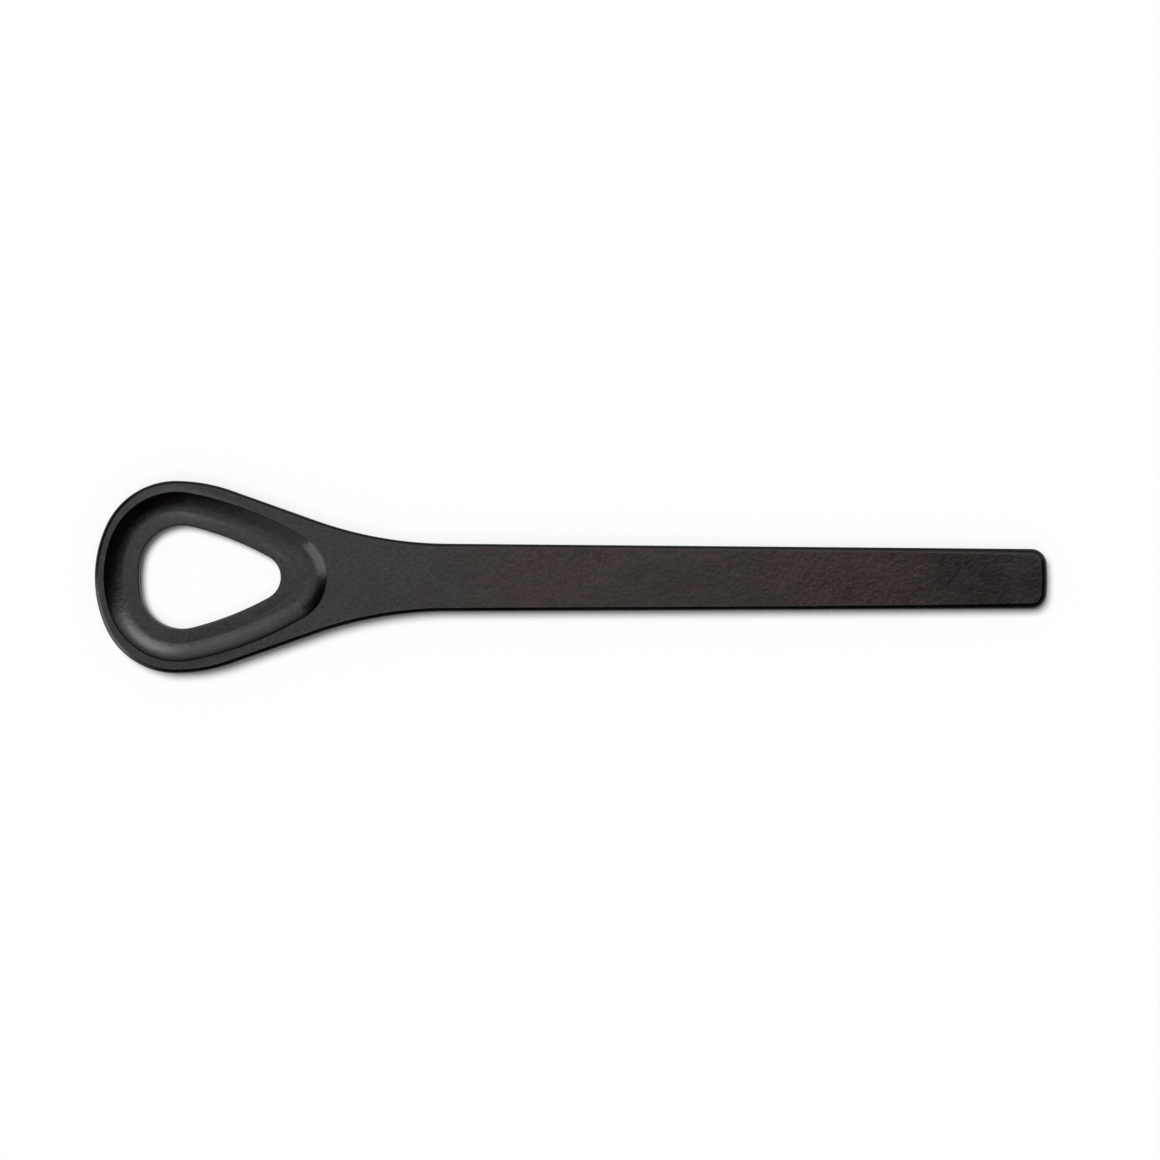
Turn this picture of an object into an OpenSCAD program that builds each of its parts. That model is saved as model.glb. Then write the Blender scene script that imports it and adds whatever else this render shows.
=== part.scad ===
// Long-handled muddler: a flat moulding for stirring, pressing and scraping.
// The head is a teardrop ring, dished on its upper face and open through the middle.
// Its neck flows into a slender handle that tapers to a squared end with soft corners.
// The tool lies on z = 0, centred on x, with the head towards -X and the handle towards +X.

/* [Overall] */
// Length from the nose of the head to the end of the handle
total_length = 300; // [285:1:330]
// Thickness of the plate that the head and the handle share
thickness = 6.5; // [5.8:0.1:9]
// Radius of the rounded lower edge
edge_r = 1.2; // [0.4:0.1:1.6]
// Width of the soft bevel along the upper edge of the head, the neck and most of the handle
bevel_w = 1.2; // [0.6:0.1:1.6]

/* [Head outline] */
// Radius of the blunt nose
nose_r = 38.9; // [37:0.1:41]
// Half of the angle that the nose's arc turns through
nose_half_angle = 24.5; // [23:0.5:26]
// Radius of the shoulders, from the nose to the widest place
shoulder_r = 24.2; // [23:0.1:26]
// Radius of the cheeks, from the widest place to the straight flanks
cheek_r = 52; // [46:1:58]
// Angle between a flank and the long axis
flank_angle = 19.5; // [19:0.1:21]
// Radius of the hollow curve from a flank into the handle
neck_r = 128; // [110:1:140]

/* [Dish] */
// Width of the flat rim at the nose
rim_w = 3; // [2.4:0.1:3.4]
// Height that the rim loses from the dish to the outer edge
rim_fall = 0.16; // [0:0.01:0.3]
// Depth of the dish below the rim
dish_depth = 2.3; // [1.6:0.1:3]
// Width of the curved wall between the rim and the floor
dish_wall_w = 5.8; // [4.5:0.1:6.2]
// Radius of the dish's nose
dish_nose_r = 35.3; // [34:0.1:37]
// Half of the angle that the dish's nose turns through
dish_nose_half_angle = 20; // [18:0.5:22]
// Radius of the dish's shoulders
dish_shoulder_r = 22.3; // [21:0.1:23]
// Radius of the dish's cheeks
dish_cheek_r = 110; // [95:1:125]
// Angle between the long axis and the dish's cheeks where they meet the tip
dish_tip_angle = 31; // [29:0.5:32]

/* [Hole] */
// Distance from the head's nose to the hole
hole_setback = 13.8; // [13.4:0.1:15]
// Width of the crowned lip round the hole, where the floor of the dish has room for it
lip_w = 4.6; // [2.5:0.1:5]
// Height of the lip above the floor of the dish, round the hole's blunt side
lip_rise = 0.25; // [0.1:0.05:0.6]
// Radius of the hole's upper and lower edges
hole_edge_r = 0.4; // [0.2:0.1:0.6]
// Radius of the hole's nose
hole_nose_r = 38; // [34:0.5:42]
// Half of the angle that the hole's nose turns through
hole_nose_half_angle = 6.7; // [6:0.1:8]
// Radius of the hole's shoulders
hole_shoulder_r = 13.4; // [12.5:0.1:14]
// Radius of the hole's cheeks
hole_cheek_r = 100; // [90:1:120]
// Angle between the long axis and the hole's cheeks where they meet the tip
hole_tip_angle = 29; // [27:0.5:30]

/* [Handle] */
// Width of the handle where the neck ends
handle_neck_w = 21.4; // [20:0.1:23]
// Width of the handle at its far end
handle_end_w = 18.8; // [17:0.1:19.8]
// Corner radius of the far end, seen from above
end_corner_r = 5; // [3.2:0.1:6.5]
// Bulge radius of the far end, seen from above
end_bulge_r = 70; // [40:1:120]
// Width of the bevel at the far end, which grows out of bevel_w along the last third
end_bevel_w = 1.9; // [1.7:0.1:2.8]

/* [Hidden] */

mould_black = [0.10, 0.09, 0.09];

nose_x = -total_length / 2;
end_x = total_length / 2;
// Plane across the neck where the head's sub-part ends and the handle's begins
split_x = nose_x + 88;
// Place where handle_neck_w is measured
neck_end_x = nose_x + 110;
// Place from which the handle's bevel widens, and how late in the rest of it that happens
widen_x = nose_x + 191;
widen_power = 2.5;

// Slope of the bevel where it leaves the flat face, and where it turns down into the side
bevel_from = 24;
bevel_to = 50;
bevel_corner_r = 0.2;

// Places between which the head's rim comes level
rim_level_from = nose_x + 22;
rim_level_by = nose_x + 43;
// The dish's wall is part of a quarter ellipse, from just past upright to just before level
wall_from = 24;
wall_to = 80;
// Share of the lip that rises straight, before it rounds over to level at the hole
lip_straight = 0.3;
// Places between which the lip sinks to a share of its height, towards the hole's tip
lip_full_by = nose_x + 26;
lip_low_from = nose_x + 46;
lip_low_share = 0.35;
// Least share of the floor that stays level between the wall and the lip
channel_share = 0.03;

// Turn of the shoulders past the widest place
dish_shoulder_turn = 11;
hole_shoulder_turn = 14.2;

// Steps along each arc of half the head, and across each rounded edge
nose_steps = 8;
shoulder_steps = 14;
cheek_steps = 7;
neck_steps = 10;
cut_steps = 6;
tip_steps = 1 + neck_steps + cut_steps;
edge_steps = 5;
bevel_steps = 4;
turn_steps = 2;
wall_steps = 8;
lip_steps = 4;
widen_steps = 10;
corner_steps = 8;
bulge_steps = 4;

// Direction at angle a, which turns from the nose, -X, through +Y to the far end, +X
function dir(a) = [-cos(a), sin(a)];

// Points on an arc from angle a0 up to but not at a1
function arc(centre, r, a0, a1, steps) =
    [for (i = [0 : steps - 1]) centre + r * dir(a0 + (a1 - a0) * i / steps)];

// Centre of arc k of a chain of tangent arcs that starts square to the long axis at x.
// r holds the arcs' radii, and a the angle at which each ends.
function chain_centre(x, r, a, k) =
    k == 0 ? [x + r[0], 0] : chain_centre(x, r, a, k - 1) + (r[k - 1] - r[k]) * dir(a[k - 1]);

// Mirror image of a point or a station in the long axis
function mirrored(p) = [for (k = [0 : len(p) - 1]) k % 2 == 1 ? -p[k] : p[k]];

// A half outline, from the nose to the far side, closed by its mirror image
function closed(half) = concat(half, [for (i = [len(half) - 2 : -1 : 1]) mirrored(half[i])]);

// Closed teardrop of nose, shoulder, cheek and tip arcs, drawn d inside itself.
// The tip's radius is the one that brings the outline square to the long axis.
function teardrop(x, r, a, d) =
    let (cheek = chain_centre(x, r, a, 2))
    let (tip_r = r[2] + cheek[1] / sin(a[2]))
    let (tip = cheek + (r[2] - tip_r) * dir(a[2]))
    closed(concat(
        arc(chain_centre(x, r, a, 0), r[0] - d, 0, a[0], nose_steps),
        arc(chain_centre(x, r, a, 1), r[1] - d, a[0], a[1], shoulder_steps),
        arc(cheek, r[2] - d, a[1], a[2], cheek_steps),
        arc(tip, tip_r - d, a[2], 180, tip_steps),
        [tip + (tip_r - d) * dir(180)]
    ));

function dish_outline(d) = teardrop(
    nose_x + rim_w,
    [dish_nose_r, dish_shoulder_r, dish_cheek_r],
    [dish_nose_half_angle, 90 + dish_shoulder_turn, 90 + dish_tip_angle],
    d
);
function hole_outline(d) = teardrop(
    nose_x + hole_setback,
    [hole_nose_r, hole_shoulder_r, hole_cheek_r],
    [hole_nose_half_angle, 90 + hole_shoulder_turn, 90 + hole_tip_angle],
    d
);

// The handle's edge is a straight line, and its offset is the line's distance from the origin
taper_angle = atan((handle_neck_w - handle_end_w) / 2 / (end_x - neck_end_x));
handle_dir = dir(90 + taper_angle);
handle_offset = [neck_end_x, handle_neck_w / 2] * handle_dir;
function handle_edge(x) = [x, (handle_offset - x * handle_dir[0]) / handle_dir[1]];

// The head's flank is a straight line too
head_radii = [nose_r, shoulder_r, cheek_r];
head_angles = [nose_half_angle, 90, 90 + flank_angle];
flank_dir = dir(90 + flank_angle);
flank_start = chain_centre(nose_x, head_radii, head_angles, 2) + cheek_r * flank_dir;
flank_offset = flank_start * flank_dir;

// The neck's arc is tangent to both lines, with its centre outside the tool
neck_centre =
    [
        (flank_offset + neck_r) * handle_dir[1] - (handle_offset + neck_r) * flank_dir[1],
        (handle_offset + neck_r) * flank_dir[0] - (flank_offset + neck_r) * handle_dir[0]
    ] / (flank_dir[0] * handle_dir[1] - flank_dir[1] * handle_dir[0]);
split_angle = acos((split_x - neck_centre[0]) / neck_r);
split_point = neck_centre - neck_r * dir(split_angle);

// Width of the bevel at x
function bevel_width(x) =
    bevel_w + (end_bevel_w - bevel_w) * pow(max(0, x - widen_x) / (end_x - widen_x), widen_power);

// Smooth step from 0 at x = a to 1 at x = b
function ease(x, a, b) =
    let (share = min(1, max(0, (x - a) / (b - a))))
    share * share * (3 - 2 * share);

// Height that the upper face has lost where it meets the bevel at x
function fall(x) = rim_fall * (1 - ease(x, rim_level_from, rim_level_by));

// A station is a place on the tool's outer edge: x, y and the inward direction in x and y
function station(p, inward) = concat(p, inward);
// Stations along an arc, whose radius is negative where the tool lies outside it
function arc_stations(centre, r, a0, a1, steps) =
    [for (i = [0 : steps - 1]) let (d = dir(a0 + (a1 - a0) * i / steps)) station(centre + r * d, -d)];
function neck_stations(a0, a1, steps) = arc_stations(neck_centre, -neck_r, a0, a1, steps);
split_station = station(split_point, [0, -1]);

// Points round the edge at a station, from the lower face to the upper: a quarter circle, the side,
// a tight turn and the bevel, which is a flat arc
function edge_points(s) =
    let (turn_w = bevel_corner_r * (1 - sin(bevel_to)))
    let (arc_r = (bevel_width(s[0]) - turn_w) / (sin(bevel_to) - sin(bevel_from)))
    let (top = thickness - fall(s[0]))
    let (turn_z = top - arc_r * (cos(bevel_from) - cos(bevel_to)) - bevel_corner_r * cos(bevel_to))
    [
        for (t = turns(0, 90, edge_steps)) concat(inset(s, edge_r * (1 - sin(t))), edge_r * (1 - cos(t))),
        for (t = turns(90, bevel_to, turn_steps))
            concat(inset(s, bevel_corner_r * (1 - sin(t))), turn_z + bevel_corner_r * cos(t)),
        for (i = [1 : bevel_steps])
            let (t = turns(bevel_to, bevel_from, bevel_steps)[i])
            let (in_by = turn_w + arc_r * (sin(bevel_to) - sin(t)))
            concat(inset(s, in_by), top - arc_r * (cos(bevel_from) - cos(t)))
    ];
function turns(a0, a1, steps) = [for (i = [0 : steps]) a0 + (a1 - a0) * i / steps];
function inset(s, d) = [s[0] + d * s[2], s[1] + d * s[3]];

// Height of the lip at x, at a share of its width from the floor to the hole
function lip_height(x, share) =
    let (crown = 1 - lip_straight)
    let (full = lip_rise * (1 - (1 - lip_low_share) * ease(x, lip_full_by, lip_low_from)))
    full * (share - pow(max(0, share - lip_straight), 2) / (2 * crown)) / (1 - crown / 2);

// Loop of points at height z, or of points that each gain the lip's height at a share of its width
function at_height(loop, z) = [for (p = loop) concat(p, z)];
function on_lip(loop, z, share) = [for (p = loop) concat(p, z + lip_height(p[0], share))];

// Loop down the dish's wall at turn t of its ellipse
function wall_loop(t) = at_height(
    dish_outline(dish_wall_w * (cos(wall_from) - cos(t)) / (cos(wall_from) - cos(wall_to))),
    thickness - dish_depth * (sin(t) - sin(wall_from)) / (sin(wall_to) - sin(wall_from))
);

// Loop where the lip starts, on the way from loop foot to loop edge
function lip_start(foot, edge) =
    [for (i = [0 : len(foot) - 1]) foot[i] + (edge[i] - foot[i]) * channel(edge[i] - foot[i])];

// Share of the way across the floor that is a level channel before the lip
function channel(across) = max(channel_share, 1 - lip_w / norm(across));

// Two triangles between four corners, or one where two corners are the same point
function quad(a, b, c, d) = [if (b != c) [a, c, b], if (c != d) [a, d, c]];

// Dished ring, cut square across the neck. Its skin runs round every station's section: up the
// outer edge, over the rim, down the wall, across the floor and the lip and down through the hole.
module head() {
    nose = chain_centre(nose_x, head_radii, head_angles, 0);
    shoulder = chain_centre(nose_x, head_radii, head_angles, 1);
    cheek = chain_centre(nose_x, head_radii, head_angles, 2);
    flat_half_w = split_point[1] - max(edge_r, bevel_w);
    half = concat(
        arc_stations(nose, nose_r, 0, nose_half_angle, nose_steps),
        arc_stations(shoulder, shoulder_r, nose_half_angle, 90, shoulder_steps),
        arc_stations(cheek, cheek_r, 90, 90 + flank_angle, cheek_steps),
        [station(flank_start, -flank_dir)],
        neck_stations(90 + flank_angle, split_angle, neck_steps),
        [split_station],
        [for (i = [1 : cut_steps]) station([split_x, flat_half_w * (1 - i / cut_steps)], [0, 0])]
    );
    outer = closed(half);
    floor_z = thickness - dish_depth;
    hole_edge = hole_outline(-hole_edge_r);
    lip_foot = lip_start(dish_outline(dish_wall_w), hole_edge);
    inner = [
        for (i = [0 : wall_steps]) wall_loop(wall_from + (wall_to - wall_from) * i / wall_steps),
        for (i = [0 : lip_steps]) let (share = i / lip_steps)
            on_lip(lip_foot * (1 - share) + hole_edge * share, floor_z, share),
        on_lip(hole_outline(0), floor_z - hole_edge_r, 1),
        at_height(hole_outline(0), hole_edge_r),
        at_height(hole_outline(-hole_edge_r), 0)
    ];
    sections = [for (i = [0 : len(outer) - 1]) concat(edge_points(outer[i]), [for (loop = inner) loop[i]])];
    n = len(sections);
    m = len(sections[0]);
    color(mould_black) polyhedron(
        [for (s = sections) each s],
        [for (i = [0 : n - 1]) for (j = [0 : m - 1])
            let (k = (i + 1) % n, l = (j + 1) % m)
            each quad(i * m + j, i * m + l, k * m + l, k * m + j)]
    );
}

// Neck and tapering bar, with a bevel that widens towards the far end. Its skin runs along the
// stations of both edges, and flat faces close it above, below and across the cut.
module handle() {
    // The end's corner arc is tangent to the handle's edge and to the bulge
    bulge_centre = [end_x - end_bulge_r, 0];
    across = handle_offset - end_corner_r - bulge_centre * handle_dir;
    along = sqrt(pow(end_bulge_r - end_corner_r, 2) - pow(across, 2));
    corner_reach = across * handle_dir + along * [handle_dir[1], -handle_dir[0]];
    corner_centre = bulge_centre + corner_reach;
    corner_end = 180 - atan2(corner_reach[1], corner_reach[0]);
    straight_end_x = corner_centre[0] + end_corner_r * handle_dir[0];
    straight_xs = concat(
        [(neck_end_x + widen_x) / 2],
        [for (i = [0 : widen_steps - 1]) widen_x + (straight_end_x - widen_x) * i / widen_steps]
    );
    half = concat(
        [split_station],
        [for (s = neck_stations(split_angle, 90 + taper_angle, neck_steps)) if (s[0] > split_x + 0.01) s],
        [station(neck_centre - neck_r * handle_dir, -handle_dir)],
        [for (x = straight_xs) station(handle_edge(x), -handle_dir)],
        arc_stations(corner_centre, end_corner_r, 90 + taper_angle, corner_end, corner_steps),
        arc_stations(bulge_centre, end_bulge_r, corner_end, 180, bulge_steps),
        [station([end_x, 0], [-1, 0])]
    );
    sections = [for (s = concat(closed(half), [mirrored(half[0])])) edge_points(s)];
    n = len(sections);
    m = len(sections[0]);
    color(mould_black) polyhedron(
        [for (s = sections) each s],
        [
            for (i = [0 : n - 2]) for (j = [0 : m - 2])
                each quad(i * m + j, i * m + j + 1, (i + 1) * m + j + 1, (i + 1) * m + j),
            for (i = [0 : (n - 3) / 2])
                each quad((n - i) * m - 1, (n - 1 - i) * m - 1, (i + 2) * m - 1, (i + 1) * m - 1),
            for (i = [0 : (n - 3) / 2])
                each quad(i * m, (i + 1) * m, (n - 2 - i) * m, (n - 1 - i) * m),
            for (j = [0 : m - 2])
                each quad(j, (n - 1) * m + j, (n - 1) * m + j + 1, j + 1)
        ]
    );
}

head();
handle();
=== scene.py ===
"""A black moulded muddler, built around its CAD frame: a dished teardrop head with a hole, and a
long flat handle."""

from math import acos, atan, atan2, cos, degrees, pi, radians, sin, sqrt

import bmesh
import bpy
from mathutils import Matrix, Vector


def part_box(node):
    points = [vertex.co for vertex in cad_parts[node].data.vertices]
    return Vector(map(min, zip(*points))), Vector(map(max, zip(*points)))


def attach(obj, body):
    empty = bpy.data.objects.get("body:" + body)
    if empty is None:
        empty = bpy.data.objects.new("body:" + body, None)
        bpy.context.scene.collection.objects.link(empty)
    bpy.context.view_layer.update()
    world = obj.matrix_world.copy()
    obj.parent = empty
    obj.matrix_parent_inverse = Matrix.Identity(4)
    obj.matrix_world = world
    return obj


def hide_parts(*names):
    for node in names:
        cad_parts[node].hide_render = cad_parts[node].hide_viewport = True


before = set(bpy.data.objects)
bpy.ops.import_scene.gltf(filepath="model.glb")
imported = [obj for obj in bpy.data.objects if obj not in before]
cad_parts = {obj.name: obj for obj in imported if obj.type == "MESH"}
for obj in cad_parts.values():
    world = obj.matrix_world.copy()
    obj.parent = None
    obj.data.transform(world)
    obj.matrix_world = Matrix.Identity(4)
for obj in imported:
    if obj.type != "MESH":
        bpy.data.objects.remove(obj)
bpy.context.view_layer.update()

MM = 0.001

# ---------------------------------------------------------------- the frame, in millimetres

HEAD_LOW, HEAD_HIGH = (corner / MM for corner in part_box("head"))
HANDLE_LOW, HANDLE_HIGH = (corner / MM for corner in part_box("handle"))
NOSE_X = HEAD_LOW.x
END_X = HANDLE_HIGH.x
SPLIT_X = HANDLE_LOW.x
THICKNESS = HEAD_HIGH.z

# ---------------------------------------------------------------- shape, in millimetres and degrees

# Radii of the nose, shoulder and cheek arcs of each outline, and the angle at which each arc ends.
# Angles turn from the nose, -X, through +Y to the far end, +X.
HEAD_RADII, HEAD_ANGLES = (38.9, 24.2, 52.0), (24.5, 90.0, 109.5)
DISH_RADII, DISH_ANGLES = (35.3, 22.3, 110.0), (20.0, 101.0, 121.0)
HOLE_RADII, HOLE_ANGLES = (38.0, 13.4, 100.0), (6.7, 104.2, 119.0)
# How far the dish and the hole start behind the nose
RIM_W = 3.0
HOLE_SETBACK = 13.8
NECK_R = 128.0
# Half the handle's width at NECK_END_X and at the far end
NECK_END_X = NOSE_X + 110
NECK_HALF_W = 10.7
END_HALF_W = 9.4
END_CORNER_R = 5.0
END_BULGE_R = 70.0

# Rounded lower edge
EDGE_R = 1.2
# The upper edge's bevel is a flat arc between two slopes, with a tight turn down into the side
BEVEL_W, END_BEVEL_W = 1.2, 1.9
BEVEL_FROM, BEVEL_TO = radians(24), radians(50)
BEVEL_CORNER_R = 0.2
# It widens from WIDEN_X to the far end, slowly at first
WIDEN_X = NOSE_X + 191
WIDEN_POWER = 2.5

DISH_DEPTH = 2.3
DISH_WALL_W = 5.8
# The dish's wall is part of a quarter ellipse, from past upright to just before level
WALL_FROM, WALL_TO = radians(24), radians(80)
# Width of the broken edge between the rim and the wall
RIM_EDGE_W = 0.12
# The rim falls towards the outer edge round the nose, and comes level between two places
RIM_FALL = 0.16
RIM_LEVEL_FROM, RIM_LEVEL_BY = NOSE_X + 22, NOSE_X + 43
# The lip round the hole, which sinks between two places to a share of its height
LIP_W = 4.6
LIP_RISE = 0.25
LIP_FULL_BY, LIP_LOW_FROM = NOSE_X + 26, NOSE_X + 46
LIP_LOW_SHARE = 0.35
# Share of the lip's width, on the hole's side, over which its straight slope rounds off
LIP_CROWN = 0.7
# Least share of the floor between the wall and the hole that stays flat
CHANNEL_SHARE = 0.03
HOLE_EDGE_R = 0.4

# Steps along each arc of half the outline, and across each rounded edge
NOSE_STEPS, SHOULDER_STEPS, CHEEK_STEPS = 30, 60, 28
FLANK_STEPS, NECK_STEPS, CUT_STEPS = 16, 36, 10
TIP_STEPS = FLANK_STEPS + NECK_STEPS + CUT_STEPS
EDGE_STEPS = 6
TURN_STEPS, BEVEL_STEPS = 3, 8
WALL_STEPS = 26
FLOOR_STEPS = 6
LIP_STEPS = 12
HOLE_EDGE_STEPS = 5
RIM_STEPS = 6
CORNER_STEPS, BULGE_STEPS, WIDEN_STEPS = 24, 12, 60
# Faces that meet at more than this angle keep a sharp crease between them
SHARP_ANGLE = radians(19)
# Width of the band beside an edge in which the plastic is rubbed
WEAR_W = 0.5
# How rubbed it is where the bevel meets the flat face and the side, and on both sides of the
# rim's inner edge
CREASE_WEAR, SIDE_WEAR = 1.0, 0.4
RIM_WEAR = [1.0, 0.5]


def direction(a):
    """The outward direction at angle a, in degrees."""
    return Vector((-cos(radians(a)), sin(radians(a))))


def spread(a, b, steps):
    """steps values from a up to but not at b."""
    return [a + (b - a) * i / steps for i in range(steps)]


def turns(a, b, steps):
    """steps + 1 values from a to b, both included."""
    return spread(a, b, steps) + [b]


def arc(centre, r, a0, a1, steps):
    """Points along an arc from angle a0 up to but not at a1."""
    return [centre + r * direction(a) for a in spread(a0, a1, steps)]


def arc_centres(x, radii, angles):
    """Centres of tangent arcs that start square to the long axis at x."""
    centres = [Vector((x + radii[0], 0))]
    for k in (1, 2):
        centres.append(centres[-1] + (radii[k - 1] - radii[k]) * direction(angles[k - 1]))
    return centres


def closed(half):
    """A half outline from the nose, with its mirror image in the long axis."""
    return half + [Vector((p.x, -p.y)) for p in half[-2:0:-1]]


def teardrop(x, radii, angles, inset):
    """Closed loop of nose, shoulder, cheek and tip arcs, drawn inset inside itself."""
    nose, shoulder, cheek = arc_centres(x, radii, angles)
    tip_r = radii[2] + cheek.y / sin(radians(angles[2]))
    tip = cheek + (radii[2] - tip_r) * direction(angles[2])
    half = arc(nose, radii[0] - inset, 0, angles[0], NOSE_STEPS)
    half += arc(shoulder, radii[1] - inset, angles[0], angles[1], SHOULDER_STEPS)
    half += arc(cheek, radii[2] - inset, angles[1], angles[2], CHEEK_STEPS)
    half += arc(tip, tip_r - inset, angles[2], 180, TIP_STEPS)
    return closed(half + [tip + (tip_r - inset) * direction(180)])


def dish(inset):
    """The outline of the dish at its rim, drawn inset inside itself."""
    return teardrop(NOSE_X + RIM_W, DISH_RADII, DISH_ANGLES, inset)


def hole(inset):
    """The outline of the hole, drawn inset inside itself."""
    return teardrop(NOSE_X + HOLE_SETBACK, HOLE_RADII, HOLE_ANGLES, inset)


# The handle's edge and the head's flank are straight lines, and the neck's arc is tangent to both
TAPER = degrees(atan((NECK_HALF_W - END_HALF_W) / (END_X - NECK_END_X)))
HANDLE_DIR = direction(90 + TAPER)
HANDLE_OFFSET = Vector((NECK_END_X, NECK_HALF_W)).dot(HANDLE_DIR)
FLANK_DIR = direction(HEAD_ANGLES[2])
FLANK_START = arc_centres(NOSE_X, HEAD_RADII, HEAD_ANGLES)[2] + HEAD_RADII[2] * FLANK_DIR
FLANK_OFFSET = FLANK_START.dot(FLANK_DIR)


def meeting_point(n1, c1, n2, c2):
    """Where the lines n1.p = c1 and n2.p = c2 cross."""
    det = n1.x * n2.y - n1.y * n2.x
    return Vector((c1 * n2.y - c2 * n1.y, n1.x * c2 - n2.x * c1)) / det


NECK_CENTRE = meeting_point(FLANK_DIR, FLANK_OFFSET + NECK_R, HANDLE_DIR, HANDLE_OFFSET + NECK_R)
# Where the head and the handle meet, on the neck's arc
SPLIT_ANGLE = degrees(acos((SPLIT_X - NECK_CENTRE.x) / NECK_R))
SPLIT_POINT = NECK_CENTRE - NECK_R * direction(SPLIT_ANGLE)


def bevel_width(x):
    """Width of the upper edge's bevel, which grows towards the handle's end."""
    late = max(0, x - WIDEN_X) / (END_X - WIDEN_X)
    return BEVEL_W + (END_BEVEL_W - BEVEL_W) * late**WIDEN_POWER


def outer_arc(centre, r, a0, a1, steps):
    """(point, inward direction) along an arc of the outer edge."""
    return [(centre + r * direction(a), -direction(a)) for a in spread(a0, a1, steps)]


def neck_arc(a0, a1, steps):
    """The same along the neck, which curves the other way."""
    return [(NECK_CENTRE - NECK_R * direction(a), -direction(a)) for a in spread(a0, a1, steps)]


def mirrored(station):
    """The station's mirror image in the long axis."""
    point, inward = station
    return Vector((point.x, -point.y)), Vector((inward.x, -inward.y))


def ease(value):
    """A smooth step from 0 to 1 as value goes from 0 to 1."""
    v = min(1, max(0, value))
    return v * v * (3 - 2 * v)


def rim_fall(x):
    """How far the head's rim falls towards its outer edge, which fades out before the flanks."""
    return RIM_FALL * (1 - ease((x - RIM_LEVEL_FROM) / (RIM_LEVEL_BY - RIM_LEVEL_FROM)))


def edge_points(station):
    """Points round the plate's edge at a station, from the lower face to the upper."""
    point, inward = station
    turn_w = BEVEL_CORNER_R * (1 - sin(BEVEL_TO))
    arc_r = (bevel_width(point.x) - turn_w) / (sin(BEVEL_TO) - sin(BEVEL_FROM))
    top = THICKNESS - rim_fall(point.x)
    turn_z = top - arc_r * (cos(BEVEL_FROM) - cos(BEVEL_TO)) - BEVEL_CORNER_R * cos(BEVEL_TO)
    profile = [
        (EDGE_R * (1 - sin(t)), EDGE_R * (1 - cos(t)))
        for t in turns(0, pi / 2, EDGE_STEPS)
    ]
    profile += [
        (BEVEL_CORNER_R * (1 - sin(t)), turn_z + BEVEL_CORNER_R * cos(t))
        for t in turns(pi / 2, BEVEL_TO, TURN_STEPS)
    ]
    profile += [
        (turn_w + arc_r * (sin(BEVEL_TO) - sin(t)), top - arc_r * (cos(BEVEL_FROM) - cos(t)))
        for t in turns(BEVEL_TO, BEVEL_FROM, BEVEL_STEPS)[1:]
    ]
    return [(*(point + inset * inward), z) for inset, z in profile]


def edge_wear(station):
    """How rubbed the plastic is at each of the edge points, and not at all on the split plane."""
    at_edge = 1 if station[1].length else 0
    lower, bevel = [0.0] * (EDGE_STEPS + 1), [0.0] * (BEVEL_STEPS - 1)
    return lower + [SIDE_WEAR * at_edge] * (TURN_STEPS + 1) + bevel + [CREASE_WEAR * at_edge]


def head_sections():
    """The section at each station round the head, up the outer edge, over the rim and down through
    the dish, and how rubbed the plastic is at each of its points."""
    nose, shoulder, cheek = arc_centres(NOSE_X, HEAD_RADII, HEAD_ANGLES)
    half = outer_arc(nose, HEAD_RADII[0], 0, HEAD_ANGLES[0], NOSE_STEPS)
    half += outer_arc(shoulder, HEAD_RADII[1], HEAD_ANGLES[0], HEAD_ANGLES[1], SHOULDER_STEPS)
    half += outer_arc(cheek, HEAD_RADII[2], HEAD_ANGLES[1], HEAD_ANGLES[2], CHEEK_STEPS)
    flank_end = NECK_CENTRE - NECK_R * FLANK_DIR
    for share in spread(0, 1, FLANK_STEPS):
        half.append((FLANK_START.lerp(flank_end, share), -FLANK_DIR))
    half += neck_arc(HEAD_ANGLES[2], SPLIT_ANGLE, NECK_STEPS)
    half.append((SPLIT_POINT, Vector((0, -1))))
    # Across the split plane the section has no edge to round, so its stations have no direction
    flat_half_w = SPLIT_POINT.y - EDGE_R
    for share in turns(1, 0, CUT_STEPS)[1:]:
        half.append((Vector((SPLIT_X, flat_half_w * share)), Vector((0, 0))))
    outer = half + [mirrored(s) for s in half[-2:0:-1]]
    inner = dish_loops()
    inner_wear = RIM_WEAR + [0.0] * (len(inner) - len(RIM_WEAR))
    sections = []
    for i, station in enumerate(outer):
        edge = edge_points(station)
        start, end = Vector(edge[-1]), Vector(inner[0][i])
        band = WEAR_W / (end - start).length
        rim = [start.lerp(end, share) for share in turns(band, 1 - band, RIM_STEPS)]
        sections.append(edge + rim + [loop[i] for loop in inner])
    rim_wear = [0.0] * (RIM_STEPS + 1)
    return sections, [edge_wear(station) + rim_wear + inner_wear for station in outer]


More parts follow.
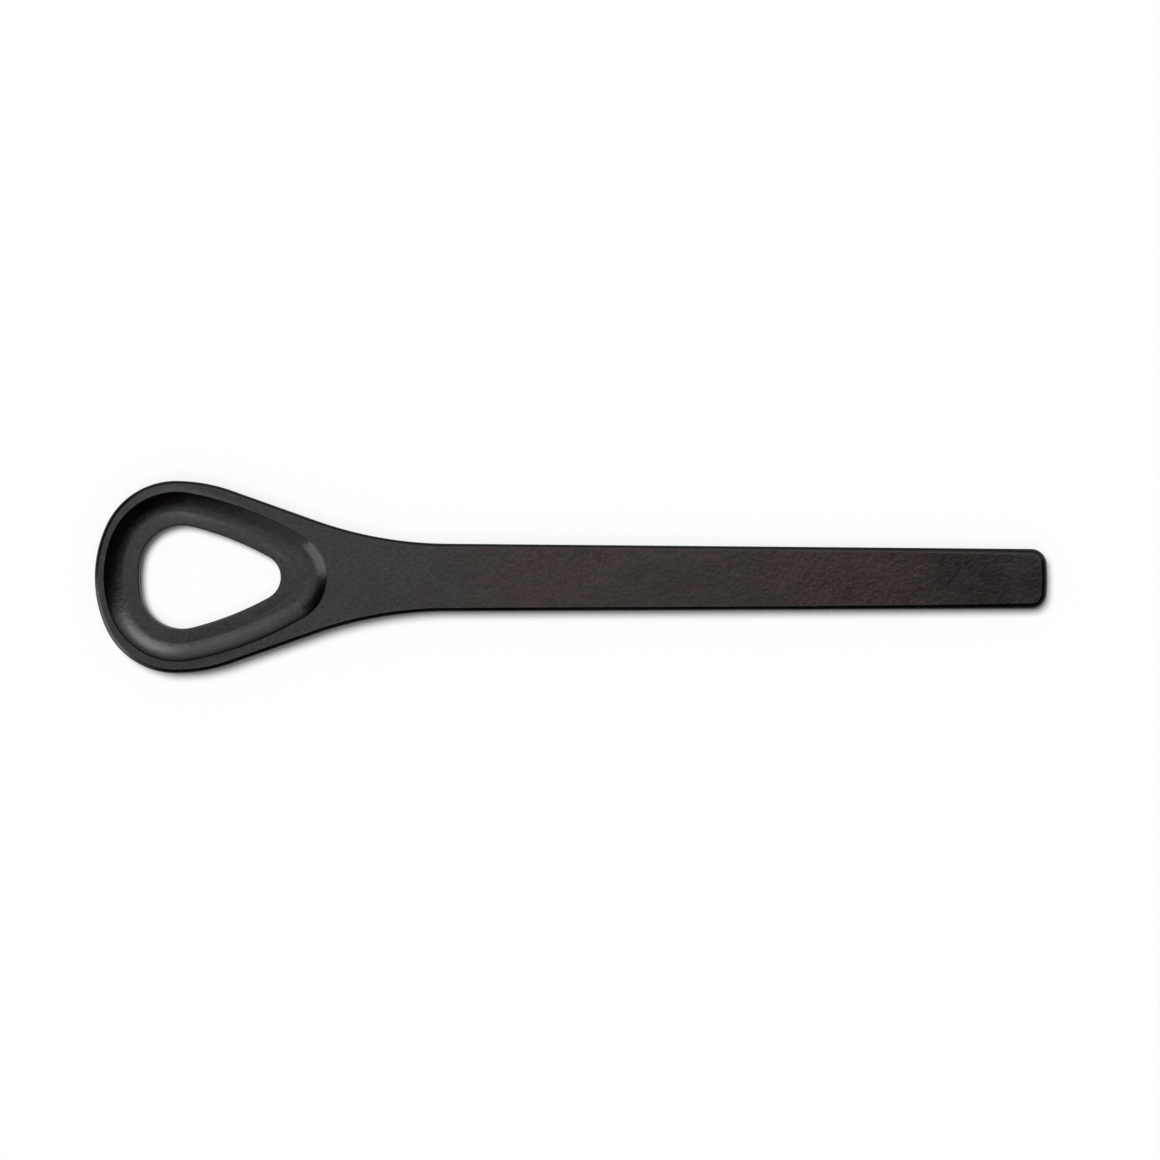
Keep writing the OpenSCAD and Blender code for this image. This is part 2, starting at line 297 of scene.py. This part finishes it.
def dish_loops():
    """Loops from the rim down the wall, over the floor and the lip, and through the hole."""
    floor_z = THICKNESS - DISH_DEPTH
    # The rim's inner edge is broken just enough to catch the light
    loops = [on_plane(dish(-RIM_EDGE_W), THICKNESS)]
    for t in turns(WALL_FROM, WALL_TO, WALL_STEPS):
        across = (cos(WALL_FROM) - cos(t)) / (cos(WALL_FROM) - cos(WALL_TO))
        down = (sin(t) - sin(WALL_FROM)) / (sin(WALL_TO) - sin(WALL_FROM))
        depth = RIM_EDGE_W / 2 + (DISH_DEPTH - RIM_EDGE_W / 2) * down
        loops.append(on_plane(dish(DISH_WALL_W * across), THICKNESS - depth))
    foot, edge = dish(DISH_WALL_W), hole(-HOLE_EDGE_R)
    lip = [a.lerp(b, max(CHANNEL_SHARE, 1 - LIP_W / (b - a).length)) for a, b in zip(foot, edge)]
    for share in turns(0, 1, FLOOR_STEPS)[1:]:
        loops.append(on_plane([a.lerp(b, share) for a, b in zip(foot, lip)], floor_z))
    for share in turns(0, 1, LIP_STEPS)[1:]:
        loops.append(on_lip([a.lerp(b, share) for a, b in zip(lip, edge)], floor_z, share))
    quarter = turns(0, pi / 2, HOLE_EDGE_STEPS)
    for t in quarter[1:]:
        z = floor_z - HOLE_EDGE_R * (1 - cos(t))
        loops.append(on_lip(hole(-HOLE_EDGE_R * (1 - sin(t))), z, 1))
    for t in quarter:
        loops.append(on_plane(hole(-HOLE_EDGE_R * (1 - cos(t))), HOLE_EDGE_R * (1 - sin(t))))
    return loops


def on_plane(loop, z):
    """The loop's points at height z."""
    return [(p.x, p.y, z) for p in loop]


def on_lip(loop, z, share):
    """Loop above z by the lip's height at a share of its width, from the floor to the hole."""
    straight = 1 - LIP_CROWN
    height = (share - max(0, share - straight) ** 2 / (2 * LIP_CROWN)) / (1 - LIP_CROWN / 2)
    return [(p.x, p.y, z + lip_rise(p.x) * height) for p in loop]


def lip_rise(x):
    """Full height of the lip, which sinks towards the hole's tip."""
    sunk = ease((x - LIP_FULL_BY) / (LIP_LOW_FROM - LIP_FULL_BY))
    return LIP_RISE * (1 - (1 - LIP_LOW_SHARE) * sunk)


def handle_sections():
    """The edge's section at each station, from the split plane's +Y corner round the far end to its
    -Y corner, and how rubbed the plastic is at each of its points."""
    bulge = Vector((END_X - END_BULGE_R, 0))
    across = HANDLE_OFFSET - END_CORNER_R - bulge.dot(HANDLE_DIR)
    along = sqrt((END_BULGE_R - END_CORNER_R) ** 2 - across**2)
    reach = across * HANDLE_DIR + along * Vector((HANDLE_DIR.y, -HANDLE_DIR.x))
    corner = bulge + reach
    corner_end = 180 - degrees(atan2(reach.y, reach.x))
    straight_start = NECK_CENTRE - NECK_R * HANDLE_DIR
    straight_end = corner + END_CORNER_R * HANDLE_DIR
    half = [(SPLIT_POINT, Vector((0, -1)))]
    half += neck_arc(SPLIT_ANGLE, 90 + TAPER, NECK_STEPS)[1:]
    for share in spread(0, 1, WIDEN_STEPS):
        half.append((straight_start.lerp(straight_end, share), -HANDLE_DIR))
    half += outer_arc(corner, END_CORNER_R, 90 + TAPER, corner_end, CORNER_STEPS)
    half += outer_arc(bulge, END_BULGE_R, corner_end, 180, BULGE_STEPS)
    half.append((Vector((END_X, 0)), Vector((-1, 0))))
    sections, wear = [], []
    for station in half + [mirrored(s) for s in half[-2::-1]]:
        point, inward = station
        unworn = point + (bevel_width(point.x) + WEAR_W) * inward
        sections.append(edge_points(station) + [(*unworn, THICKNESS)])
        wear.append(edge_wear(station) + [0.0])
    return sections, wear


# ---------------------------------------------------------------- meshes


def mesh_piece(name, sections, wear, quads):
    """A smooth mesh over a grid of section points, with sharp edges only at its corners."""
    points = [Vector(p) * MM for section in sections for p in section]
    mesh = bpy.data.meshes.new(name)
    mesh.from_pydata(points, [], quads)
    bm = bmesh.new()
    bm.from_mesh(mesh)
    bmesh.ops.recalc_face_normals(bm, faces=bm.faces)
    for face in bm.faces:
        face.smooth = True
    for edge in bm.edges:
        edge.smooth = edge.calc_face_angle(0) < SHARP_ANGLE
    bm.to_mesh(mesh)
    bm.free()
    worn = mesh.attributes.new("edge_wear", "FLOAT", "POINT")
    worn.data.foreach_set("value", [value for section in wear for value in section])
    piece = bpy.data.objects.new(name, mesh)
    bpy.context.scene.collection.objects.link(piece)
    # Each vertex takes the direction of its largest faces, so that the flats stay flat up to the
    # rounded edges
    flats = piece.modifiers.new("flats", "WEIGHTED_NORMAL")
    flats.mode = "FACE_AREA"
    flats.keep_sharp = True
    return piece


def grid(sections, ring):
    """Quads between neighbouring sections, all round where ring is true."""
    n, m = len(sections), len(sections[0])
    rows = n if ring else n - 1
    columns = m if ring else m - 1
    return [
        [i * m + j, (i + 1) % n * m + j, (i + 1) % n * m + (j + 1) % m, i * m + (j + 1) % m]
        for i in range(rows)
        for j in range(columns)
    ]


def head_piece():
    sections, wear = head_sections()
    return mesh_piece("head_moulding", sections, wear, grid(sections, ring=True))


def handle_piece():
    sections, wear = handle_sections()
    n, m = len(sections), len(sections[0])
    quads = grid(sections, ring=False)
    # Strips across the lower and the upper face, then the split plane's own face
    for column in (0, m - 1):
        for i in range(n // 2):
            corners = [i * m, (i + 1) * m, (n - 2 - i) * m, (n - 1 - i) * m]
            quads.append([c + column for c in dict.fromkeys(corners)])
    quads += [[j, j + 1, (n - 1) * m + j + 1, (n - 1) * m + j] for j in range(m - 1)]
    return mesh_piece("handle_moulding", sections, wear, quads)


# ---------------------------------------------------------------- materials


# A mix node's sockets for its two values and its result, which differ with its data type
MIX_SOCKETS = {"FLOAT": (2, 3, 0), "RGBA": (6, 7, 2)}


class Nodes:
    """Node helpers, where a value is a number or a node's output."""

    def __init__(self, tree, coordinate):
        self.nodes, self.links = tree.nodes, tree.links
        place = self.nodes.new("ShaderNodeTexCoord")
        self.at, self.normal = place.outputs[coordinate], place.outputs["Normal"]

    def put(self, socket, value):
        """Link the value to the socket, or set the socket to it."""
        if isinstance(value, bpy.types.NodeSocket):
            self.links.new(value, socket)
        else:
            socket.default_value = value

    def math(self, operation, a, b=0.0):
        node = self.nodes.new("ShaderNodeMath")
        node.operation = operation
        self.put(node.inputs[0], a)
        self.put(node.inputs[1], b)
        return node.outputs[0]

    def smooth(self, value, start, end, low=0.0, high=1.0):
        """low at start and high at end, eased at both."""
        node = self.nodes.new("ShaderNodeMapRange")
        node.interpolation_type = "SMOOTHSTEP"
        self.put(node.inputs["Value"], value)
        self.put(node.inputs["From Min"], start)
        self.put(node.inputs["From Max"], end)
        self.put(node.inputs["To Min"], low)
        self.put(node.inputs["To Max"], high)
        return node.outputs["Result"]

    def split(self, vector, axis):
        """The vector's X, Y or Z."""
        node = self.nodes.new("ShaderNodeSeparateXYZ")
        self.links.new(vector, node.inputs[0])
        return node.outputs[axis]

    def noise(self, size, detail, moved):
        """Noise from 0 to 1 with features about size across, moved along, both in metres."""
        place = self.nodes.new("ShaderNodeVectorMath")
        place.operation = "ADD"
        place.inputs[1].default_value = (moved, moved, moved)
        self.links.new(self.at, place.inputs[0])
        node = self.nodes.new("ShaderNodeTexNoise")
        node.inputs["Scale"].default_value = 1 / size
        node.inputs["Detail"].default_value = detail
        self.links.new(place.outputs[0], node.inputs["Vector"])
        return node.outputs["Fac"]

    def blend(self, share, a, b, data_type="RGBA"):
        """a where share is 0 and b where it is 1."""
        first, second, result = MIX_SOCKETS[data_type]
        node = self.nodes.new("ShaderNodeMix")
        node.data_type = data_type
        self.put(node.inputs[0], share)
        self.put(node.inputs[first], a)
        self.put(node.inputs[second], b)
        return node.outputs[result]


def new_material(name):
    """A new material and its shader node."""
    material = bpy.data.materials.new(name)
    material.use_nodes = True
    return material, material.node_tree.nodes["Principled BSDF"]


# Base colours of the plastic: bare; with a haze of washing and a warm bloom from handling, which
# lie only on faces that face up and so are also a painted sheen on the top; and rubbed at the edges
BARE = (0.0010, 0.0009, 0.0010, 1)
BARE_ROSY = (0.0019, 0.0009, 0.0016, 1)
HAZE_AND_SHEEN = (0.0136, 0.0114, 0.0132, 1)
BLOOM_AND_SHEEN = (0.0240, 0.0105, 0.0062, 1)
ROSY_BLOOM_AND_SHEEN = (0.0210, 0.0076, 0.0060, 1)
DULL_BLOOM_AND_SHEEN = (0.0125, 0.0040, 0.0018, 1)
THIN_BLOOM_AND_SHEEN = (0.0060, 0.0006, 0.0005, 1)
RUBBED = (0.0150, 0.0120, 0.0105, 1)
# Along X in metres: where the bloom and painted sheen start and are full, and where they thin out
# towards the far end
BLOOM_AND_SHEEN_FROM, BLOOM_AND_SHEEN_BY = -0.060, -0.014
BLOOM_AND_SHEEN_THIN_FROM, BLOOM_AND_SHEEN_THIN_BY = 0.092, 0.128
# How far the two ends of the bloom and painted sheen wander along X, in metres
BLOOM_AND_SHEEN_RAGGED = 0.06
# How level a face has to be, as the height of its unit normal, to get the haze, bloom and painted
# sheen
LEVEL_FROM, LEVEL_BY = 0.955, 0.99
# The plastic's four noises: feature size in metres, detail, and how far each is moved from the rest
SMUDGE = (0.017, 3.0, 0.0)
PATCH = (0.009, 2.0, 0.31)
FLECK = (0.0024, 3.0, 0.77)
GRAIN = (0.0011, 2.0, 0.53)
# Levels of a noise between which its effect grows: rosy patches, dull smudges, the grain's and the
# flecks' gaps in the film and painted sheen, and patches of heavier wear
ROSY, DULL = (0.42, 0.66), (0.43, 0.60)
GRAIN_GAP, FLECK_GAP = (0.40, 0.60), (0.46, 0.64)
PATCHY = (0.3, 0.6)
# Share of the film and painted sheen that the grain and the flecks take off, and least share of the
# wear in a patch
GRAIN_GAP_DEPTH, FLECK_GAP_DEPTH = 0.7, 0.4
LEAST_WEAR = 0.4
# Wear's share of the colour, and what it adds to the roughness
WORN_TINT, WORN_ROUGHNESS = 0.3, 0.08
# Roughness from clean to smudged, how much the flecks change it, and their noise levels
SMUDGE_ROUGHNESS, FLECK_ROUGHNESS = (0.20, 0.24), (-0.02, 0.02)
BROAD = (0.3, 0.7)
# Heights of the flecks and the grain as shares of the soft waves' height, which is in metres
FLECK_HEIGHT, GRAIN_HEIGHT = 0.05, 0.2
WAVE_HEIGHT = 0.00019
PLASTIC_IOR = 1.5


def black_plastic():
    """Near-black moulded plastic with a fine grain, soft waves, smudges, a haze and a warm bloom
    from handling on the faces that face up, which also paint a lighter, warmer sheen on the top,
    and rubbed edges."""
    material, shader = new_material("moulded_black")
    kit = Nodes(material.node_tree, "Object")
    smudge, patch = kit.noise(*SMUDGE), kit.noise(*PATCH)
    fleck, grain = kit.noise(*FLECK), kit.noise(*GRAIN)
    wander = kit.math("MULTIPLY", kit.math("SUBTRACT", patch, 0.5), BLOOM_AND_SHEEN_RAGGED)
    ragged = kit.math("ADD", kit.split(kit.at, "X"), wander)
    level = kit.smooth(kit.split(kit.normal, "Z"), LEVEL_FROM, LEVEL_BY)
    rosy = kit.smooth(patch, *ROSY)

    bare = kit.blend(rosy, BARE, BARE_ROSY)
    bloom_and_sheen = kit.blend(rosy, BLOOM_AND_SHEEN, ROSY_BLOOM_AND_SHEEN)
    bloom_and_sheen = kit.blend(kit.smooth(smudge, *DULL), bloom_and_sheen, DULL_BLOOM_AND_SHEEN)
    # The bloom and painted sheen thin out, darker towards the far end
    bloom_and_sheen = kit.blend(kit.smooth(ragged, BLOOM_AND_SHEEN_THIN_FROM, BLOOM_AND_SHEEN_THIN_BY), bloom_and_sheen, THIN_BLOOM_AND_SHEEN)
    film_and_sheen = kit.blend(kit.smooth(ragged, BLOOM_AND_SHEEN_FROM, BLOOM_AND_SHEEN_BY), HAZE_AND_SHEEN, bloom_and_sheen)
    film_and_sheen = kit.blend(kit.smooth(grain, *GRAIN_GAP, 0.0, GRAIN_GAP_DEPTH), film_and_sheen, BARE)
    film_and_sheen = kit.blend(kit.smooth(fleck, *FLECK_GAP, 0.0, FLECK_GAP_DEPTH), film_and_sheen, BARE)
    # Haze and bloom go only on faces that face up, which also paints a lighter, warmer sheen on the
    # top
    colour = kit.blend(level, bare, film_and_sheen)

    attribute = kit.nodes.new("ShaderNodeAttribute")
    attribute.attribute_name = "edge_wear"
    patchy = kit.smooth(patch, *PATCHY, LEAST_WEAR, 1.0)
    worn = kit.math("MULTIPLY", attribute.outputs["Fac"], patchy)
    colour = kit.blend(kit.math("MULTIPLY", worn, WORN_TINT), colour, RUBBED)
    kit.put(shader.inputs["Base Color"], colour)

    smudged = kit.smooth(smudge, *BROAD, *SMUDGE_ROUGHNESS)
    roughness = kit.math("ADD", smudged, kit.smooth(fleck, *BROAD, *FLECK_ROUGHNESS))
    roughness = kit.math("ADD", roughness, kit.math("MULTIPLY", worn, WORN_ROUGHNESS))
    kit.put(shader.inputs["Roughness"], roughness)

    height = kit.math("ADD", smudge, kit.math("MULTIPLY", fleck, FLECK_HEIGHT))
    height = kit.math("ADD", height, kit.math("MULTIPLY", grain, GRAIN_HEIGHT))
    bump = kit.nodes.new("ShaderNodeBump")
    bump.inputs["Strength"].default_value = 1.0
    bump.inputs["Distance"].default_value = WAVE_HEIGHT
    kit.put(bump.inputs["Height"], height)
    kit.put(shader.inputs["Normal"], bump.outputs["Normal"])
    shader.inputs["IOR"].default_value = PLASTIC_IOR
    return material


FLOOR_SIZE = 60
FLOOR_COLOUR = (0.9, 0.9, 0.9, 1)


def floor_material():
    """Plain pale matt floor, with no shine of its own."""
    material, shader = new_material("studio_floor")
    shader.inputs["Base Color"].default_value = FLOOR_COLOUR
    shader.inputs["Roughness"].default_value = 0.9
    shader.inputs["Specular IOR Level"].default_value = 0.0
    return material


# ---------------------------------------------------------------- studio


def studio_floor():
    """The plain surface that the tool lies on, which isn't part of the model."""
    bpy.ops.mesh.primitive_plane_add(size=FLOOR_SIZE)
    floor = bpy.context.object
    floor.name = "studio_floor"
    floor.data.materials.append(floor_material())


def sky_direction(azimuth, off_zenith):
    """Unit vector at an azimuth from +X and an angle from straight up, in degrees."""
    a, z = radians(azimuth), radians(off_zenith)
    return Vector((cos(a) * sin(z), sin(a) * sin(z), cos(z)))


# Round soft panels that the plastic mirrors: azimuth and angle off the zenith of the middle, half
# width of the full and of the whole panel, in degrees, and radiance
ROUND_PANELS = (
    (167, 18, 0.2, 28.7, 0.9),
    (70, 27, 2.6, 19, 3.8),
)
# Upright soft panels: azimuth of the middle, half width, softness of the sides, first and last
# angle off the zenith, softness of the ends, in degrees, and radiance
TALL_PANELS = (
    (76, 50, 9, 40, 28, 62, 1.83),
    (204, 19, 4, 37, 95, 2, 2.6),
    (232, 12, 1, 11, 95, 2, 0.6),
)
# Radiance of the rest of the room: as the plastic mirrors it, as it lights the floor and the
# plastic from all sides, and as it shows behind the floor
SKY_GLOW = 0.01
FLOOR_GLOW = 0.14
BACKDROP = 0.95
# The two wide lights: name, azimuth, angle off the zenith and angle across in degrees,
# and strength
FLOOR_LIGHTS = (
    ("key_light", 136, 22, 31, 2.91),
    ("fill_light", 250, 12, 62, 0.36),
)


class Sky(Nodes):
    """Node helpers for the studio's world."""

    def along(self, direction_3d):
        """Cosine of the angle between the ray and a direction."""
        node = self.nodes.new("ShaderNodeVectorMath")
        node.operation = "DOT_PRODUCT"
        node.inputs[1].default_value = direction_3d
        self.links.new(self.at, node.inputs[0])
        return node.outputs["Value"]

    def round_panel(self, azimuth, off_zenith, full, whole, radiance):
        facing = self.along(sky_direction(azimuth, off_zenith))
        lit = self.smooth(facing, cos(radians(whole)), cos(radians(full)))
        return self.math("MULTIPLY", lit, radiance)

    def tall_panel(self, azimuth, half_w, side_soft, first, last, end_soft, radiance):
        forward = self.along(sky_direction(azimuth, 90))
        sideways = self.along(sky_direction(azimuth + 90, 90))
        turn = self.math("ABSOLUTE", self.math("ARCTAN2", sideways, forward))
        off_zenith = self.math("ARCCOSINE", self.along(Vector((0, 0, 1))))
        lit = self.smooth(turn, radians(half_w + side_soft), radians(half_w))
        for edge, outward in ((first, -end_soft), (last, end_soft)):
            within = self.smooth(off_zenith, radians(edge + outward), radians(edge))
            lit = self.math("MULTIPLY", lit, within)
        return self.math("MULTIPLY", lit, radiance)


def studio_world():
    """A dark room whose soft panels show in the plastic, with a pale backdrop behind the floor."""
    world = bpy.data.worlds.new("studio")
    bpy.context.scene.world = world
    world.use_nodes = True
    # The panels are found by the mirrored rays alone, so that the floor keeps its own light
    world.cycles.sampling_method = "NONE"
    sky = Sky(world.node_tree, "Generated")
    mirrored_light = SKY_GLOW
    for panel in ROUND_PANELS:
        mirrored_light = sky.math("ADD", sky.round_panel(*panel), mirrored_light)
    for panel in TALL_PANELS:
        mirrored_light = sky.math("ADD", sky.tall_panel(*panel), mirrored_light)
    ray = sky.nodes.new("ShaderNodeLightPath").outputs
    light = sky.blend(ray["Is Glossy Ray"], FLOOR_GLOW, mirrored_light, "FLOAT")
    light = sky.blend(ray["Is Camera Ray"], light, BACKDROP, "FLOAT")
    background = sky.nodes["Background"]
    background.inputs["Color"].default_value = (1, 1, 1, 1)
    sky.put(background.inputs["Strength"], light)


def floor_light(name, azimuth, off_zenith, angle, strength):
    """A wide soft light that shapes the shadows and isn't mirrored in the plastic."""
    data = bpy.data.lights.new(name, "SUN")
    data.energy = strength
    data.angle = radians(angle)
    light = bpy.data.objects.new(name, data)
    light.rotation_euler = sky_direction(azimuth, off_zenith).to_track_quat("Z", "Y").to_euler()
    light.visible_glossy = False
    bpy.context.scene.collection.objects.link(light)


# The camera looks straight down. Its height over the tool, the width of its view and the middle of
# the view are in metres, and its roll is in radians
CAMERA_HEIGHT = 1.0
VIEW_WIDTH = 0.3661
VIEW_CENTRE = (0.00281, -0.00066)
CAMERA_ROLL = 0.00213
SENSOR_WIDTH_MM = 36


def studio_camera():
    """A camera straight above the tool."""
    data = bpy.data.cameras.new("camera")
    data.sensor_width = SENSOR_WIDTH_MM
    data.lens = SENSOR_WIDTH_MM * CAMERA_HEIGHT / VIEW_WIDTH
    camera = bpy.data.objects.new("camera", data)
    camera.location = (*VIEW_CENTRE, CAMERA_HEIGHT + THICKNESS * MM / 2)
    camera.rotation_euler = (0, 0, CAMERA_ROLL)
    bpy.context.scene.collection.objects.link(camera)
    bpy.context.scene.camera = camera


# ---------------------------------------------------------------- scene

bpy.context.scene.view_settings.view_transform = "Standard"
studio_camera()
studio_world()
studio_floor()
for light_facts in FLOOR_LIGHTS:
    floor_light(*light_facts)

plastic = black_plastic()
for piece, node in ((head_piece(), "head"), (handle_piece(), "handle")):
    piece.data.materials.append(plastic)
    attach(piece, "root")
    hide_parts(node)
